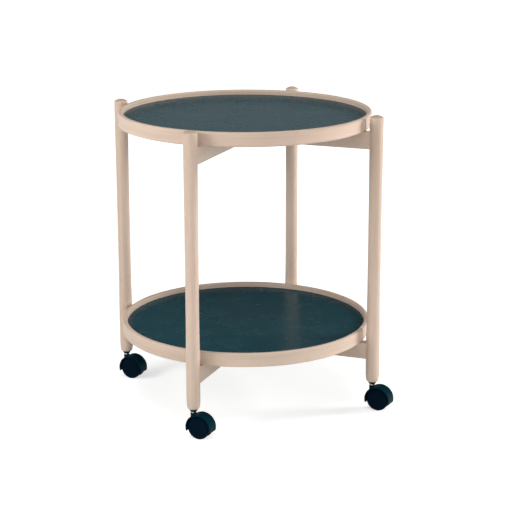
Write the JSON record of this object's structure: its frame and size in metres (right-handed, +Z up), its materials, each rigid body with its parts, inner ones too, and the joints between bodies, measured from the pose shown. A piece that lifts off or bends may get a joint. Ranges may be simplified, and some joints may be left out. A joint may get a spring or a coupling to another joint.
{
  "type": "serving trolley",
  "caption": "Folding round serving trolley with lift-off wooden-rimmed trays faced in dark laminate, turned legs on crossing bars, and hooded swivel casters.",
  "frame": {"origin": "on the floor, under the middle of the round trays", "axes": "+Z up along the fold pivots; -Y to the front, +X to the right; the legs stand at 45 degrees between the axes"},
  "size_m": [0.5, 0.5, 0.5947],
  "materials": {
    "beech": "clear matt lacquer",
    "core_board": "raw plywood",
    "slate_laminate": "smooth matt laminate, dark blue-green slate",
    "black_plastic": "satin moulded nylon, black",
    "wheel_plastic": "satin moulded nylon, blue-black",
    "steel": "bright zinc plate",
    "washer_nylon": "natural nylon"
  },
  "bodies": {
    "main_frame": {"upper_main_bar": "beech", "upper_main_dowels": "beech", "upper_pivot_bolt": "steel", "upper_lap_washer": "washer_nylon", "upper_pivot_washer": "steel", "upper_pivot_nut": "steel", "lower_main_bar": "beech", "lower_main_dowels": "beech", "lower_pivot_bolt": "steel", "lower_lap_washer": "washer_nylon", "lower_pivot_washer": "steel", "lower_pivot_nut": "steel", "front_right_leg": "beech", "front_right_caster_socket": "black_plastic", "rear_left_leg": "beech", "rear_left_caster_socket": "black_plastic"},
    "fold_frame": {"upper_fold_bar": "beech", "upper_fold_dowels": "beech", "lower_fold_bar": "beech", "lower_fold_dowels": "beech", "front_left_leg": "beech", "front_left_caster_socket": "black_plastic", "rear_right_leg": "beech", "rear_right_caster_socket": "black_plastic"},
    "upper_tray": {"upper_tray_rim": "beech", "upper_tray_core": "core_board", "upper_tray_top_laminate": "slate_laminate", "upper_tray_under_laminate": "slate_laminate"},
    "lower_tray": {"lower_tray_rim": "beech", "lower_tray_core": "core_board", "lower_tray_top_laminate": "slate_laminate", "lower_tray_under_laminate": "slate_laminate"},
    "front_right_caster": {"front_right_caster_stem": "steel", "front_right_caster_ring": "steel", "front_right_caster_hood": "black_plastic", "front_right_caster_axle": "steel"},
    "front_right_caster_left_wheel": {"front_right_caster_left_wheel": "wheel_plastic"},
    "front_right_caster_right_wheel": {"front_right_caster_right_wheel": "wheel_plastic"},
    "rear_left_caster": {"rear_left_caster_stem": "steel", "rear_left_caster_ring": "steel", "rear_left_caster_hood": "black_plastic", "rear_left_caster_axle": "steel"},
    "rear_left_caster_left_wheel": {"rear_left_caster_left_wheel": "wheel_plastic"},
    "rear_left_caster_right_wheel": {"rear_left_caster_right_wheel": "wheel_plastic"},
    "front_left_caster": {"front_left_caster_stem": "steel", "front_left_caster_ring": "steel", "front_left_caster_hood": "black_plastic", "front_left_caster_axle": "steel"},
    "front_left_caster_left_wheel": {"front_left_caster_left_wheel": "wheel_plastic"},
    "front_left_caster_right_wheel": {"front_left_caster_right_wheel": "wheel_plastic"},
    "rear_right_caster": {"rear_right_caster_stem": "steel", "rear_right_caster_ring": "steel", "rear_right_caster_hood": "black_plastic", "rear_right_caster_axle": "steel"},
    "rear_right_caster_left_wheel": {"rear_right_caster_left_wheel": "wheel_plastic"},
    "rear_right_caster_right_wheel": {"rear_right_caster_right_wheel": "wheel_plastic"}
  },
  "joints": [
    {"name": "frame_fold", "type": "hinge", "parent": "main_frame", "child": "fold_frame", "pos_m": [0, 0, 0.546], "axis": [0, 0, 1], "range_deg": [0, 70]},
    {"name": "upper_tray_lift", "type": "slide", "parent": "main_frame", "child": "upper_tray", "axis": [0, 0, 1], "range_m": [0, 0.2]},
    {"name": "lower_tray_lift", "type": "slide", "parent": "main_frame", "child": "lower_tray", "axis": [0, 0, 1], "range_m": [0, 0.3]},
    {"name": "front_right_swivel", "type": "hinge", "parent": "main_frame", "child": "front_right_caster", "pos_m": [0.19198, -0.19198, 0.065], "axis": [0, 0, 1], "continuous": true},
    {"name": "front_right_left_wheel_spin", "type": "hinge", "parent": "front_right_caster", "child": "front_right_caster_left_wheel", "pos_m": [0.20162, -0.20347, 0.0225], "axis": [0.766, 0.6428, 0], "continuous": true},
    {"name": "front_right_right_wheel_spin", "type": "hinge", "parent": "front_right_caster", "child": "front_right_caster_right_wheel", "pos_m": [0.20162, -0.20347, 0.0225], "axis": [0.766, 0.6428, 0], "continuous": true},
    {"name": "rear_left_swivel", "type": "hinge", "parent": "main_frame", "child": "rear_left_caster", "pos_m": [-0.19198, 0.19198, 0.065], "axis": [0, 0, 1], "continuous": true},
    {"name": "rear_left_left_wheel_spin", "type": "hinge", "parent": "rear_left_caster", "child": "rear_left_caster_left_wheel", "pos_m": [-0.18234, 0.18049, 0.0225], "axis": [0.766, 0.6428, 0], "continuous": true},
    {"name": "rear_left_right_wheel_spin", "type": "hinge", "parent": "rear_left_caster", "child": "rear_left_caster_right_wheel", "pos_m": [-0.18234, 0.18049, 0.0225], "axis": [0.766, 0.6428, 0], "continuous": true},
    {"name": "front_left_swivel", "type": "hinge", "parent": "fold_frame", "child": "front_left_caster", "pos_m": [-0.19198, -0.19198, 0.065], "axis": [0, 0, 1], "continuous": true},
    {"name": "front_left_left_wheel_spin", "type": "hinge", "parent": "front_left_caster", "child": "front_left_caster_left_wheel", "pos_m": [-0.18234, -0.20347, 0.0225], "axis": [0.766, 0.6428, 0], "continuous": true},
    {"name": "front_left_right_wheel_spin", "type": "hinge", "parent": "front_left_caster", "child": "front_left_caster_right_wheel", "pos_m": [-0.18234, -0.20347, 0.0225], "axis": [0.766, 0.6428, 0], "continuous": true},
    {"name": "rear_right_swivel", "type": "hinge", "parent": "fold_frame", "child": "rear_right_caster", "pos_m": [0.19198, 0.19198, 0.065], "axis": [0, 0, 1], "continuous": true},
    {"name": "rear_right_left_wheel_spin", "type": "hinge", "parent": "rear_right_caster", "child": "rear_right_caster_left_wheel", "pos_m": [0.20162, 0.18049, 0.0225], "axis": [0.766, 0.6428, 0], "continuous": true},
    {"name": "rear_right_right_wheel_spin", "type": "hinge", "parent": "rear_right_caster", "child": "rear_right_caster_right_wheel", "pos_m": [0.20162, 0.18049, 0.0225], "axis": [0.766, 0.6428, 0], "continuous": true}
  ]
}
